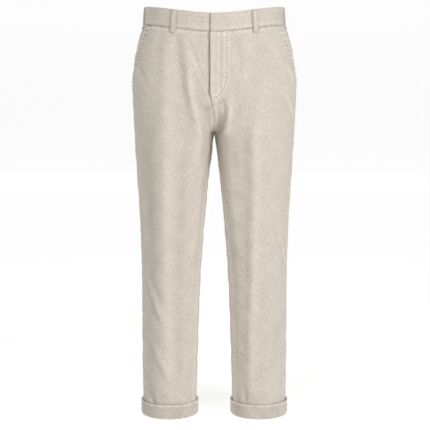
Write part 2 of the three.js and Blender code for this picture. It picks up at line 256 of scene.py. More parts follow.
# Leg panels
# Two fronts and two backs, each cut in one from the waist to the hem and sewn at the sides, the
# inseams and the middle. Their form is the solids' own, in millimetres, with finer creases, sunk
# seams and the puckers that washing leaves along every sewn line.
millimetre = 0.001
cloth_thickness = 1.8
seam_gap = 0.37
band_seam = 20
rise_start = 180
fork_row = 280
fork_depth = 262
level_row = 380
leg_shape_from = 130
leg_shape_to = 345
front_dip = 15
back_dip = 10
dip_sharpness = 2.5
fly_edge = 8.5
fly_slot = 1.8
fly_bottom = 178
side_seam = 0.5
seams_forward = 0.062
seams_forward_from = 420
mouth_at_band = 0.405
mouth_bottom = 174
mouth_curve = 2
hem_down = 922.5
leg_end = hem_down - 3.6

# Outer sizes, a row for each section: distance below the waist, half the width over both legs,
# reach to the front and the back, a leg's own centre, half the gap between the legs, and how
# boxy the section is.
section_names = ("down", "side", "front", "back", "middle", "gap", "square")
sections = np.array([
    (-20, 154.3, 112, 110, 0, 0, 2.3),
    (20, 157.3, 113, 114, 0, 0, 2.3),
    (36, 165, 113.5, 117.5, 0, 0, 2.45),
    (63, 172.7, 114, 123, 0, 0, 2.6),
    (99, 180.3, 115, 130, 1, 0, 2.65),
    (135, 185, 115, 135, 3, 0, 2.65),
    (160, 186.3, 114, 136.5, 5, 0, 2.6),
    (200, 185.3, 110.5, 135, 7, 0.35, 2.5),
    (262, 182.6, 103, 124, 8, 0.5, 2.35),
    (281, 181.5, 100.5, 119.5, 8, 3.4, 2.3),
    (318, 180, 96, 111.5, 7.5, 7.8, 2.2),
    (373, 177, 90.5, 101.5, 6, 13.6, 2.15),
    (448, 172.3, 84, 90, 3, 20.8, 2.1),
    (523, 169.5, 76.5, 79, 1, 27, 2.1),
    (598, 168, 70, 71.5, 0, 32, 2.1),
    (674, 168, 66.5, 67.5, 0, 35.6, 2.1),
    (788, 168, 64.5, 65, 0, 39.2, 2.1),
    (865, 167.2, 64.5, 65, 0, 41.4, 2.1),
    (923, 167, 64.8, 65.2, 0, 42, 2.1),
])

# The largest folds, which the solids have too, on the wearer's right and left. around and down: the
# places where each starts and ends. out: height. wide: half its width.
fold_names = ("around", "around_end", "down", "down_end", "out", "wide")
right_folds = [
    (0.25, 0.268, 50, 240, 3.6, 16),
    (0.27, 0.279, 200, 590, 5.2, 16),
    (0.279, 0.258, 550, 875, 4.8, 16),
    (0.345, 0.365, 200, 590, -4.2, 16),
    (0.365, 0.372, 560, 860, -3, 15),
    (0.208, 0.178, 50, 150, -2, 10),
    (0.213, 0.211, 240, 590, -4.6, 12),
    (0.208, 0.188, 560, 870, -3.6, 12),
    (0.152, 0.142, 80, 250, 6, 11),
    (0.14, 0.158, 200, 340, 5.2, 12),
    (0.182, 0.19, 120, 300, -3.4, 12),
    (0.125, 0.115, 320, 600, 3.4, 15),
    (0.115, 0.1, 580, 860, 2.4, 15),
    (0.93, 0.8, 235, 300, -3.2, 16),
    (0.76, 0.74, 330, 600, -3.4, 19),
    (0.68, 0.82, 650, 745, -3, 14),
]
left_folds = [
    (0.252, 0.241, 170, 450, 4.6, 12),
    (0.241, 0.217, 410, 660, 5, 12),
    (0.215, 0.193, 620, 875, 4.8, 13),
    (0.215, 0.202, 210, 450, -2.6, 12),
    (0.2, 0.178, 410, 660, -1.6, 12),
    (0.175, 0.155, 620, 870, -1.2, 12),
    (0.1, 0.14, 180, 280, 5.8, 13),
    (0.14, 0.14, 260, 520, 4.6, 14),
    (0.058, 0.08, 190, 310, -3, 11),
    (0.37, 0.42, 105, 160, 2.2, 12),
    (0.94, 0.79, 240, 292, -3.6, 17),
    (0.74, 0.77, 350, 640, -3, 18),
    (0.82, 0.66, 640, 720, -2.6, 14),
]
folds = {-1: right_folds, 1: left_folds}

# Finer creases, placed after the photo in front and alike behind, with the same columns
right_creases = [
    (0.177, 0.062, 36, 158, 2.8, 9),
    (0.148, 0.05, 46, 160, -2, 7),
    (0.13, 0.035, 48, 150, 0.9, 6),
    (0.205, 0.19, 40, 120, -1.6, 8),
    (0.29, 0.285, 34, 140, -1.5, 8),
    (0.32, 0.325, 34, 90, 0.9, 6),
    (0.235, 0.24, 34, 90, 1.2, 7),
    (0.1, 0.035, 197, 203, -1.7, 5),
    (0.12, 0.05, 187, 191, 1.1, 5),
    (0.04, 0.1, 236, 226, -1, 6),
    (0.4, 0.287, 588, 693, 2.1, 5.5),
    (0.418, 0.31, 602, 700, -1.9, 6),
    (0.38, 0.262, 575, 680, -1.3, 5),
    (0.385, 0.255, 716, 820, 1.8, 8),
    (0.412, 0.28, 735, 830, -1.8, 7),
    (0.4, 0.33, 640, 720, 1, 7),
    (0.41, 0.35, 808, 880, -2.8, 7),
    (0.43, 0.37, 775, 862, 1.4, 6),
    (0.352, 0.345, 866, 892, -3.2, 6),
    (0.425, 0.425, 874, 892, -2.4, 4),
    (0.1, 0.095, 874, 892, -2.2, 4),
    (0.2, 0.2, 880, 892, -1.2, 5),
    (0.16, 0.16, 862, 892, 1, 6),
    (0.1, 0.165, 575, 620, -1.3, 8),
    (0.13, 0.155, 645, 714, -1.2, 8),
    (0.12, 0.22, 480, 520, -0.8, 9),
    (0.4, 0.335, 98, 150, -1.6, 5),
    (0.415, 0.35, 112, 165, 1.6, 5),
    (0.44, 0.37, 160, 197, -1.4, 6),
    (0.38, 0.38, 210, 330, -1, 9),
    (0.41, 0.39, 330, 520, 1, 9),
    (0.9, 0.8, 250, 262, 1.2, 7),
    (0.96, 0.88, 215, 180, -1.3, 8),
    (0.7, 0.62, 300, 380, 1.1, 9),
    (0.62, 0.8, 520, 560, -1.3, 8),
    (0.66, 0.84, 580, 600, 1.3, 8),
    (0.84, 0.72, 700, 760, 1.2, 8),
    (0.66, 0.72, 806, 886, -2.2, 8),
    (0.82, 0.8, 830, 888, 1.3, 7),
]
left_creases = [
    (0.005, 0.085, 187, 187, -1.6, 4),
    (0.03, 0.062, 194, 275, -4.4, 12),
    (0.012, 0.047, 181, 200, -1.8, 4),
    (0.026, 0.07, 187, 216, 1.6, 4),
    (0.045, 0.09, 184, 210, -1.6, 4),
    (0.06, 0.098, 178, 200, 1, 4),
    (0.03, 0.05, 212, 250, -1, 5),
    (0.112, 0.14, 196, 262, 1.4, 6),
    (0.35, 0.455, 166, 238, 2, 6),
    (0.333, 0.44, 174, 248, -2, 6),
    (0.371, 0.414, 104, 156, 1.8, 6),
    (0.355, 0.4, 112, 167, -1.6, 6),
    (0.296, 0.377, 50, 151, 1.2, 8),
    (0.28, 0.36, 62, 162, -1, 8),
    (0.14, 0.15, 34, 120, -1.2, 7),
    (0.17, 0.175, 34, 150, 1, 7),
    (0.24, 0.235, 36, 130, -0.9, 9),
    (0.342, 0.443, 470, 570, 1.9, 6),
    (0.33, 0.428, 482, 580, -1.8, 6),
    (0.3, 0.4, 330, 420, -0.8, 8),
    (0.364, 0.336, 680, 794, -1.4, 8),
    (0.281, 0.323, 836, 876, 2, 7),
    (0.25, 0.28, 850, 880, -1.2, 6),
    (0.165, 0.168, 850, 892, -3.4, 6),
    (0.115, 0.115, 872, 892, -2.4, 4),
    (0.09, 0.09, 876, 892, -2.2, 4),
    (0.36, 0.36, 872, 892, -2, 5),
    (0.4, 0.4, 868, 892, -1.4, 5),
    (0.13, 0.2, 640, 690, 0.9, 7),
    (0.91, 0.8, 262, 268, 1.2, 7),
    (0.96, 0.88, 205, 176, -1.3, 8),
    (0.71, 0.62, 320, 390, 1, 9),
    (0.64, 0.82, 540, 590, -1.4, 8),
    (0.62, 0.78, 600, 640, 1.3, 8),
    (0.85, 0.74, 720, 790, -1.2, 8),
    (0.78, 0.72, 815, 888, -2.4, 8),
    (0.65, 0.68, 830, 888, 1.3, 7),
]
creases = {-1: right_creases, 1: left_creases}


def mix(first, second, share):
    return first + (second - first) * share


def ease(start, end, value):
    share = np.clip((value - start) / (end - start), 0, 1)
    return share * share * (3 - 2 * share)


def curve_through(downs, values, down):
    """A smooth curve through a table's values, read at any height."""
    last = len(downs) - 1
    low_at = np.maximum(np.arange(last + 1) - 1, 0)
    high_at = np.minimum(np.arange(last + 1) + 1, last)
    slopes = (values[high_at] - values[low_at]) / (downs[high_at] - downs[low_at])
    row = np.clip(np.searchsorted(downs, down, side="left") - 1, 0, last - 1)
    span = downs[row + 1] - downs[row]
    share = np.clip((down - downs[row]) / span, 0, 1)
    square = share ** 2
    cube = share ** 3
    return ((2 * cube - 3 * square + 1) * values[row] + (cube - 2 * square + share) * span * slopes[row]
            + (3 * square - 2 * cube) * values[row + 1] + (cube - square) * span * slopes[row + 1])


def size(name, down):
    return curve_through(sections[:, 0], sections[:, section_names.index(name)], down)


def leg_share(down, near_end=0.0):
    turn = np.clip((down - rise_start) / (fork_row - rise_start), 0, 1)
    along_rise = 1 - np.cos(turn * math.pi / 2)
    return mix(ease(leg_shape_from, leg_shape_to, down), along_rise, near_end ** 3)


def end_height(down):
    turn = np.clip((down - rise_start) / (fork_row - rise_start), 0, 1)
    rise = -rise_start - (fork_depth - rise_start) * np.sin(turn * math.pi / 2)
    below = -mix(fork_depth, level_row, np.clip((down - fork_row) / (level_row - fork_row), 0, 1))
    height = np.where(down <= rise_start, -down, np.where(down <= fork_row, rise, below))
    return np.where(down > level_row, -down, height)


def reach(across, deep, power, angle):
    along_deep = (np.abs(np.cos(angle)) / deep) ** power
    along_across = (np.abs(np.sin(angle)) / across) ** power
    return (along_deep + along_across) ** (-1 / power)


def bare_form(side, around, down):
    """The smooth form of one half. around goes from the front middle or the inseam to the back one."""
    near_end = 1 - ease(0, 0.3, np.minimum(np.abs(around), np.abs(1 - around)))
    share = leg_share(down, near_end)
    outer, front, back = size("side", down), size("front", down), size("back", down)
    middle, square = size("middle", down), size("square", down)
    end_z = end_height(down)
    body_angle = around * math.pi
    facing = np.cos(body_angle)
    body_reach = reach(outer, np.where(facing > 0, front, back), square, body_angle)
    gap = size("gap", -end_z)
    half_leg = (outer - gap) / 2
    leg_angle = around * 2 * math.pi
    leg_deep = np.where(np.sin(leg_angle) > 0, front + middle, back - middle)
    leg_reach = reach(leg_deep, half_leg, square, leg_angle)
    leg_x = gap + half_leg - leg_reach * np.cos(leg_angle)
    leg_y = middle - leg_reach * np.sin(leg_angle)
    dip = np.where(facing > 0, front_dip, back_dip) * np.abs(facing) ** dip_sharpness
    dip = dip * (1 - ease(band_seam, rise_start, down))
    x = side * mix(body_reach * np.sin(body_angle), leg_x, share)
    y = mix(-body_reach * facing, leg_y, share)
    return np.stack([x, y, mix(-down, end_z, near_end) - dip], axis=-1)


def girth(down):
    """Length of a row, from its front or inseam end to its back one."""
    outer = size("side", down)
    deep = (size("front", down) + size("back", down)) / 2
    body = math.pi / 2 * (outer + deep)
    leg = math.pi * ((outer - size("gap", down)) / 2 + deep)
    return mix(body, leg, leg_share(down))


def ridge(away, spot):
    """Height of a low ridge or hollow. spot: its distance, half its width and its height."""
    middle, wide, height = spot
    return height * np.exp(-(((away - middle) / wide) ** 2))


def fold_height(table, side, around, down, free_of_band=(30, 70), free_of_cuff=(855, 885)):
    """Height of a table's folds over the form, less near the middle seams, the band and the cuffs."""
    turn = np.where(around > 1, around - 1, around)
    near_end = np.minimum(turn, 1 - turn)
    free = ease(0, 0.035, near_end) * ease(*free_of_band, down) * (1 - ease(*free_of_cuff, down))
    round_way = girth(down)
    height = np.zeros(np.shape(turn))
    for row in table[side]:
        fold = dict(zip(fold_names, row))
        run_around = (fold["around_end"] - fold["around"]) * round_way
        run_down = fold["down_end"] - fold["down"]
        off_around = (turn - fold["around"]) * round_way
        off_down = down - fold["down"]
        along = (off_around * run_around + off_down * run_down) / (run_around ** 2 + run_down ** 2)
        near = np.clip(along, 0, 1)
        away = np.hypot(off_around - near * run_around, off_down - near * run_down)
        taper = 0.35 + 0.65 * np.sin(math.pi * near)
        height += taper * ridge(away, (0, fold["wide"], fold["out"]))
    return height * free


def crease_height(side, around, down):
    return fold_height(creases, side, around, down, (band_seam, band_seam + 16), (886, 896))


def outward(side, shape, around, down):
    step = 1.5
    aside = step / girth(down)
    along_row = shape(around + aside, down) - shape(around - aside, down)
    along_down = shape(around, down + step) - shape(around, down - step)
    normal = np.cross(along_down, along_row)
    return side * normal / np.linalg.norm(normal, axis=-1, keepdims=True)


def cloth(side, around, down):
    """A place on the folded cloth, and the direction out of it."""
    def bare(a, d):
        return bare_form(side, a, d)

    def folded(a, d):
        return bare(a, d) + outward(side, bare, a, d) * fold_height(folds, side, a, d)[..., None]

    return folded(around, down), outward(side, folded, around, down)


def share_at(across, down):
    """Share of the way round at which the smooth form is a given distance from the middle plane."""
    low = np.full(np.shape(down), -0.25)
    high = np.full(np.shape(down), 0.25)
    for _ in range(24):
        tried = (low + high) / 2
        short = bare_form(1, tried, down)[..., 0] < across
        low = np.where(short, tried, low)
        high = np.where(short, high, tried)
    return (low + high) / 2


def inseam_at(down):
    return seams_forward * ease(fork_row, seams_forward_from, down)


def side_seam_at(down):
    return side_seam - seams_forward * ease(rise_start, seams_forward_from, down)


def front_edge_at(side, down):
    across = -fly_edge if side > 0 else fly_edge + fly_slot
    fade = 1 - ease(fly_bottom - 20, fly_bottom + 50, down)
    return share_at(across, np.minimum(down, fly_bottom)) * fade + inseam_at(down)


def mouth_at(down):
    share = np.clip((down - band_seam) / (mouth_bottom - band_seam), 0, 1)
    return mix(mouth_at_band, side_seam_at(down), share ** mouth_curve)


def wander(along, seed):
    """An uneven phase, so that no two puckers are quite alike."""
    slow = 1.5 * np.sin(along / 31 + seed) + 1.1 * np.sin(along / 13.7 + 2.3 * seed)
    return slow + 0.7 * np.sin(along / 7.1 + seed * 5)


# Puckers along each sewn line: their height, their pitch, a start for their uneven phase, and how
# far from the line they reach
pucker_rows = {
    "pocket side": (0.8, 9.4, 2.0, 5),
    "inseam": (1.2, 8.8, 3.0, 5),
    "front middle": (0.5, 8, 4.0, 5),
    "front top": (0.75, 12.5, 5.0, 5),
    "fly": (1.1, 7.8, 5.5, 3.6),
    "side seam": (0.8, 9.1, 7.0, 5),
    "back middle": (0.9, 8.6, 8.0, 5),
    "back top": (0.9, 12.1, 9.0, 5),
    "dart": (0.6, 9, 10.0, 4),
    "band foot": (0.4, 11.3, 11.0, 4.5),
    "band top": (0.25, 10.3, 12.0, 4.5),
    "cuff seam": (0.7, 10, 13.0, 4.5),
}


def puckers(name, side, away, along):
    """Puffs beside a sewn line, with the line itself sunk. away: distance from it, in millimetres."""
    height, pitch, start, wide = pucker_rows[name]
    puffs = 0.55 + 0.45 * np.sin(2 * math.pi * along / pitch + wander(along, start + side))
    beside = ridge(np.abs(away), (0.8 * wide, 0.8 * wide, 1))
    return height * (puffs * beside + ridge(away, (0, 1.5, -0.9)))


# Low waves all over the cloth: their lengths down and across it, phase and height
wave_rows = ((61, 83, 0.3, 0.30), (97, -47, 1.9, 0.28), (-39, 71, 4.1, 0.2), (29, 33, 2.2, 0.13),
             (-23, 41, 5.0, 0.12), (17, -21, 0.9, 0.07), (13, 19, 3.3, 0.06))


def unevenness(side, around, down):
    """Soft low waves all over, as in worn cotton."""
    across = around * girth(down)
    waves = 0.0
    for long_way, cross_way, phase, height in wave_rows:
        turns = down / long_way + across / cross_way
        waves = waves + height * np.sin(2 * math.pi * turns + phase + side)
    return waves


def edge_roll(away, radius=0.95):
    """How far a turned edge curves in, by the distance from it."""
    near = np.clip(1 - away / radius, 0, 1)
    return radius * (np.sqrt(1 - near ** 2) - 1)


# The fly's stitching, shaped like a J, on the wearer's left front
stitch_across = 26.5
stitch_turn = 128
stitch_end = 182


def fly_stitch(count):
    """Distances from the middle and heights along the J, from the waist seam down."""
    straight = np.linspace(band_seam + 2, stitch_turn, count // 2)
    angle = np.linspace(0, math.pi / 2, count - count // 2)[1:]
    across = np.concatenate([np.full(len(straight), stitch_across),
                             -fly_edge + (stitch_across + fly_edge) * np.cos(angle)])
    down = np.concatenate([straight, stitch_turn + (stitch_end - stitch_turn) * np.sin(angle)])
    return across, down


def from_line(across, down, line_across, line_down):
    """Distance to a line of places, and how far along it the nearest one is."""
    steps = np.hypot(np.diff(line_across), np.diff(line_down))
    length = np.concatenate([[0], np.cumsum(steps)])
    nearest = np.full(np.shape(across), 1e6)
    along = np.zeros(np.shape(across))
    for at in range(len(line_across) - 1):
        run = (line_across[at + 1] - line_across[at], line_down[at + 1] - line_down[at])
        off = (across - line_across[at], down - line_down[at])
        share = np.clip((off[0] * run[0] + off[1] * run[1]) / (run[0] ** 2 + run[1] ** 2), 0, 1)
        away = np.hypot(off[0] - share * run[0], off[1] - share * run[1])
        closer = away < nearest
        nearest = np.where(closer, away, nearest)
        along = np.where(closer, length[at] + share * steps[at], along)
    return nearest, along


# Ridges and hollows of a front panel: distance in from the edge, half the width and the height.
# Beside a pocket mouth they are the puffed roll, the hollow under its stitches, the pull between
# two puffs and the low roll beyond. At the fly they are the zip, the cloth beside it and the
# stitched edge.
mouth_roll = (3.2, 2.4, 2.2)
mouth_hollow = (7.4, 1.7, -0.9)
mouth_pull = (8, 2.8, -3.2)
mouth_beyond = (11, 2.4, 1.4)
# Along the inseam: a low puff that is also painted lighter, as painted light over the shade between the
# legs.
inseam_puff_and_light = (0, 10, 0.75)
zip_ridge = (8.5, 2.6, 0.9)
beside_zip = (14, 3, -0.5)
fly_stitched_edge = (4.2, 1.2, -0.3)
fly_lap = 2.7
fly_under = 3.0
mouth_puff_pitch = 9.4


def front_relief(side, around, down):
    """Relief of a front panel over the solid's form: of the whole cloth, and of its outer face alone."""
    round_way = girth(down)
    from_front = (around - front_edge_at(side, down)) * round_way
    from_side = (mouth_at(down) - around) * round_way
    whole = crease_height(side, around, down) + unevenness(side, around, down)
    face = edge_roll(from_front) + edge_roll(from_side) + edge_roll(down - band_seam)
    at_mouth = 1 - ease(mouth_bottom - 12, mouth_bottom + 6, down)
    puff = 0.5 + 0.5 * np.sin(2 * math.pi * down / mouth_puff_pitch + 1.5 * wander(down, 1.0 + side))
    face += puff * ridge(from_side, mouth_roll) * at_mouth
    whole += (1 - puff) ** 2 * ridge(from_side, mouth_pull) * at_mouth
    face += (1 - puff * 2 / 3) * ridge(from_side, mouth_hollow) * at_mouth
    face += puff * ridge(from_side, mouth_beyond) * at_mouth
    face += puckers("pocket side", side, from_side, down) * (1 - at_mouth)
    below_fork = ease(fork_row, fork_row + 60, down)
    face += puckers("inseam", side, from_front - 6, down) * below_fork
    # A low puff along the inseam from above the fork down, which through the wear also paints light over the
    # shade that falls on the inner legs.
    face += ridge(from_front, inseam_puff_and_light) * ease(fork_row - 70, fork_row - 15, down)
    above_fly_end = 1 - ease(fly_bottom - 8, fly_bottom + 4, down)
    face += puckers("front middle", side, from_front - 3, down) * (1 - above_fly_end) * (1 - below_fork)
    face += puckers("front top", side, down - band_seam - 1, around * round_way)
    if side > 0:
        across = bare_form(1, around, down)[..., 0]
        away, along = from_line(across, down, *fly_stitch(40))
        inside = ease(0, 3, stitch_across - across) * above_fly_end
        face += puckers("fly", side, away, along)
        face += inside * (0.1 + 0.5 * (ridge(across, zip_ridge) + ridge(across, beside_zip)))
        whole += fly_lap * (1 - ease(1, 13, from_front)) * above_fly_end
        face += ridge(from_front, fly_stitched_edge) * above_fly_end
    else:
        whole -= fly_under * (1 - ease(1, 12, from_front)) * above_fly_end
    return whole, face


dart_at = 0.735
dart_end = (78, 104)


def back_relief(side, around, down):
    """Relief of a back panel: its seams, and one dart sewn below the band."""
    round_way = girth(down)
    from_side = (around - side_seam_at(down)) * round_way
    from_middle = (1 + inseam_at(down) - around) * round_way
    whole = crease_height(side, around, down) + unevenness(side, around, down)
    face = edge_roll(from_side) + edge_roll(from_middle) + edge_roll(down - band_seam)
    face += puckers("side seam", side, from_side - 1, down)
    face += puckers("back middle", side, from_middle - 3, down)
    face += puckers("back top", side, down - band_seam - 1, around * round_way)
    face += puckers("dart", side, (around - dart_at) * round_way, down) * (1 - ease(*dart_end, down))
    return whole, face


def grid_faces(rows, columns, flip):
    """Faces of a closed wall whose outer places come first and inner ones after them."""
    width = columns + 1
    sheet = rows * width
    at = (np.arange(rows - 1)[:, None] * width + np.arange(columns)[None, :]).ravel()
    outer = np.stack([at, at + width, at + width + 1, at + 1], axis=1)
    inner = np.stack([at, at + 1, at + width + 1, at + width], axis=1) + sheet
    start = np.arange(rows - 1) * width
    end = start + columns
    left = np.stack([start, start + sheet, start + width + sheet, start + width], axis=1)
    right = np.stack([end, end + width, end + width + sheet, end + sheet], axis=1)
    top = np.arange(columns)
    upper = np.stack([top, top + 1, top + 1 + sheet, top + sheet], axis=1)
    low = top + (rows - 1) * width
    lower = np.stack([low, low + sheet, low + 1 + sheet, low + 1], axis=1)
    faces = np.concatenate([outer, inner, left, right, upper, lower])
    return faces[:, ::-1] if flip else faces


def select_only(piece):
    bpy.ops.object.select_all(action="DESELECT")
    bpy.context.view_layer.objects.active = piece
    piece.select_set(True)


def new_piece(name, places, faces, finish, grain_map, wear_and_shade):
    """A mesh piece in metres from places in millimetres, with its grain map and its wear, which also holds
    painted highlight and painted shade.
    """
    mesh = bpy.data.meshes.new(name)
    mesh.from_pydata((places * millimetre).tolist(), [], faces.tolist())
    layer = mesh.uv_layers.new(name="grain")
    corners = np.zeros(len(mesh.loops), dtype=np.int32)
    mesh.loops.foreach_get("vertex_index", corners)
    layer.data.foreach_set("uv", (grain_map[corners] * millimetre).astype(np.float32).ravel())
    layer = mesh.attributes.new("wear_and_shade", "FLOAT", "POINT")
    layer.data.foreach_set("value", wear_and_shade.astype(np.float32))
    mesh.materials.append(finish)
    mesh.validate()
    piece = bpy.data.objects.new(name, mesh)
    bpy.context.collection.objects.link(piece)
    select_only(piece)
    bpy.ops.object.shade_smooth_by_angle(angle=math.radians(50))
    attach(piece, "root")
    return piece


edge_steps = (0, 0.35, 0.8, 1.4, 2.2, 3.2, 4.4, 5.8, 7.4, 9.2, 11.4)


def edge_shares(width, step, fine_to=0):
    """Places across a piece from 0 to 1, close together near both edges, and over a sewn part."""
    last = edge_steps[-1]
    first = np.array(edge_steps)
    if fine_to:
        first = np.concatenate([first, np.arange(last + 1.5, fine_to, 1.5)])
    inside = np.linspace(first[-1], width - last, int((width - first[-1] - last) / step) + 2)
    return np.concatenate([first[:-1], inside, width - np.array(edge_steps)[-2::-1]]) / width


def cloth_piece(name, side, downs, left, right, shares, relief, finish, thickness=cloth_thickness,
                rise=None, grain_way="down"):
    """A wall of cloth between two edges, on the form and its folds, with relief on its outside."""
    rows = np.asarray(downs, dtype=float)[:, None]
    around = mix(left(rows), right(rows), shares[None, :])
    down = rows + np.zeros_like(around)
    place, normal = cloth(side, around, down)
    whole, face = relief(side, around, down)
    lift = rise(around, down) if rise else np.zeros_like(around)
    outer = place + normal * (lift + whole + face)[..., None]
    depth = thickness(down) if callable(thickness) else thickness
    inner = place + normal * (lift + whole - depth)[..., None]
    runs = np.linalg.norm(np.diff(place, axis=1), axis=2)
    across = np.concatenate([np.zeros((len(rows), 1)), np.cumsum(runs, axis=1)], axis=1)
    on_front = around.mean() < side_seam
    grain_line = mix(0.205, 0.25, leg_share(rows)) if on_front else mix(0.795, 0.75, leg_share(rows))
    at_grain_line = [np.interp(grain_line[row, 0], around[row], across[row]) for row in range(len(rows))]
    across = across - np.array(at_grain_line)[:, None]
    grain_map = np.stack([across, down] if grain_way == "down" else [down, across], axis=-1)
    # The large folds paint their crests lighter and their troughs darker: wear and painted shade.
    fold_wear_and_shade = 0.06 * fold_height(folds, side, around, down)
    # Wear and painted light together: the outer face is lighter where its relief stands up and darker where
    # it sinks, partly the wash's wear and partly painted highlight and painted shade in hollows, creases and
    # seams.
    wear_and_shade = np.clip(fold_wear_and_shade + 0.1 * whole + 0.8 * face, -0.55, 1)
    places = np.concatenate([outer.reshape(-1, 3), inner.reshape(-1, 3)])
    grain_map = np.concatenate([grain_map.reshape(-1, 2)] * 2)
    # The inside of each piece is a fixed step darker.
    wear_and_shade = np.concatenate([wear_and_shade.ravel(), np.full(wear_and_shade.size, -0.3)])
    faces = grid_faces(len(rows), len(shares) - 1, side < 0)
    return new_piece(name, places, faces, finish, grain_map, wear_and_shade)


def side_name(side):
    return "left" if side > 0 else "right"


panel_step = 3.4
fly_sewn_to = 46
seam_half = seam_gap / 2
first_row = band_seam + seam_half
panel_rows = np.concatenate([
    first_row + np.array(edge_steps[:5]), np.arange(first_row + panel_step, rise_start, 1.8),
    np.linspace(rise_start, leg_end, 262)])

for side in (1, -1):
    front = cloth_piece(
        f"front_{side_name(side)}_cloth", side, panel_rows,
        lambda down: front_edge_at(side, down) + seam_half / girth(down),
        lambda down: mouth_at(down) - seam_half / girth(down),
        edge_shares(230, panel_step, fly_sewn_to if side > 0 else 0), front_relief, corduroy)
    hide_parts(f"front_{side_name(side)}")
    back = cloth_piece(
        f"back_{side_name(side)}_cloth", side, panel_rows,
        lambda down: side_seam_at(down) + seam_half / girth(down),
        lambda down: 1 + inseam_at(down) - seam_half / girth(down),
        edge_shares(250, panel_step), back_relief, corduroy)
    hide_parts(f"back_{side_name(side)}")

# Pocket side pieces
# Under each slanted mouth lies a piece of the same cloth that closes the pocket at the side seam.
# Its outer part shows between the mouth and the seam, and the rest is tucked under the front.
pocket_tuck = 14
pocket_sink = 2.9
pocket_rows = panel_rows[panel_rows <= rise_start]


def pocket_relief(side, around, down):
    round_way = girth(down)
    from_seam = (side_seam - around) * round_way
    whole = crease_height(side, around, down) + unevenness(side, around, down)
    face = edge_roll(from_seam) + edge_roll(down - band_seam)
    face += puckers("pocket side", side, from_seam, down)
    return whole, face


def pocket_rise(around, down):
    out_of_pocket = ease(0, 13, (around - mouth_at(down)) * girth(down))
    return pocket_sink * (out_of_pocket - 1)


for side in (1, -1):
    facing_piece = cloth_piece(
        f"pocket_side_{side_name(side)}_cloth", side, pocket_rows,
        lambda down: mouth_at(down) - pocket_tuck / girth(down),
        lambda down: side_seam - seam_half / girth(down),
        edge_shares(52, 2.6), pocket_relief, corduroy, rise=pocket_rise)
    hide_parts(f"pocket_side_{side_name(side)}")

# Waistband
# A doubled band, sewn over the top of the panels and joined at the middle of the back. Its left
# end laps over the right one at the fly. Its wales run round the waist.
band_thickness = 3
band_half = 20
band_proud = 0.8
band_underlap = 35
band_drop = band_thickness + 0.6


# Faint folds along the band: height, level, slope and where each begins to show
band_folds = ((-0.5, -7, 0.02, 0.8), (0.35, -1, -0.03, 2.2), (-0.45, 6, 0.025, 4.4),
              (0.3, 12, -0.01, 5.2))


def band_relief(side, around, down):
    round_way = girth(down)
    along = around * round_way
    from_top = down + band_half
    from_seam = band_half - seam_half - down
    whole = 0.35 * np.sin(along / 19 + side) * np.sin(down / 9 + 1)
    whole = whole + 0.25 * np.sin(along / 41 + 2 * side)
    face = edge_roll(from_top, 1.5) + edge_roll(from_seam, 1.4)
    for height, level, slope, start in band_folds:
        line = level + slope * (along - 200) + 1.6 * np.sin(along / 27 + start)
        here = 0.5 + 0.5 * np.sin(along / 36 + start * 2 + side)
        face += here * ridge(down, (line, 1.7, height))
    face += puckers("band foot", side, from_seam - 2, along)
    face += puckers("band top", side, from_top - 4, along)
    end = share_at(-fly_edge if side > 0 else -band_underlap, down) * round_way
    face += edge_roll(along - end, 1.5)
    return whole, face


def band_rise(side):
    drop_from = share_at(fly_edge + 13, 0.0)
    drop_to = share_at(fly_edge + 1, 0.0)

    def rise(around, down):
        under = 1 - ease(drop_to, drop_from, around) if side < 0 else np.zeros_like(around)
        return band_proud - band_drop * under
    return rise


band_rows = np.concatenate([
    -band_half + np.array(edge_steps[:5]), np.linspace(-band_half + 3.4, band_half - 3.5, 20),
    band_half - seam_half - np.array(edge_steps[:5])[::-1]])
for side in (1, -1):
    band_end = -fly_edge if side > 0 else -band_underlap
    band = cloth_piece(
        f"waistband_{side_name(side)}_cloth", side, band_rows,
        lambda down: share_at(band_end, down),
        lambda down: 1 - seam_half / girth(down),
        edge_shares(430, 2.5), band_relief, corduroy, thickness=band_thickness, rise=band_rise(side),
        grain_way="round")
    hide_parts(f"waistband_{side_name(side)}")

# Fly shield
# The facing behind the fly, seen only as a dark line in the slot beside the left front's edge.
shield_under_right = 16
shield_under_left = 30
shield_sink = 3.3


def shield_relief(side, around, down):
    flat = np.zeros_like(around)
    return flat, flat + edge_roll(down - band_seam)


shield = cloth_piece(
    "fly_shield_cloth", -1, np.linspace(band_seam + seam_gap, fly_bottom - 2, 60),
    lambda down: share_at(-shield_under_left, down),
    lambda down: share_at(shield_under_right, down),
    np.linspace(0, 1, 19), shield_relief, corduroy,
    rise=lambda around, down: np.full_like(around, -shield_sink))
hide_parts("fly_shield")

# Belt loops
# Seven strips of folded corduroy, each sewn along both edges and tacked down at the top of the
# band and just below it. In between they stand off the band.
loop_width = 12
# Down the band: distance below the waist, and how far the outer face and the underside stand off
loop_shape = np.array([
    (-19.2, 4.2, 1.2), (-14, 4.7, 1.2), (-6, 5.3, 1.6), (4, 5.5, 1.8),
    (13, 5.3, 1.6), (20, 4.5, 1.2), (25, 3.5, 0.5), (31, 3.2, 0.4),
])
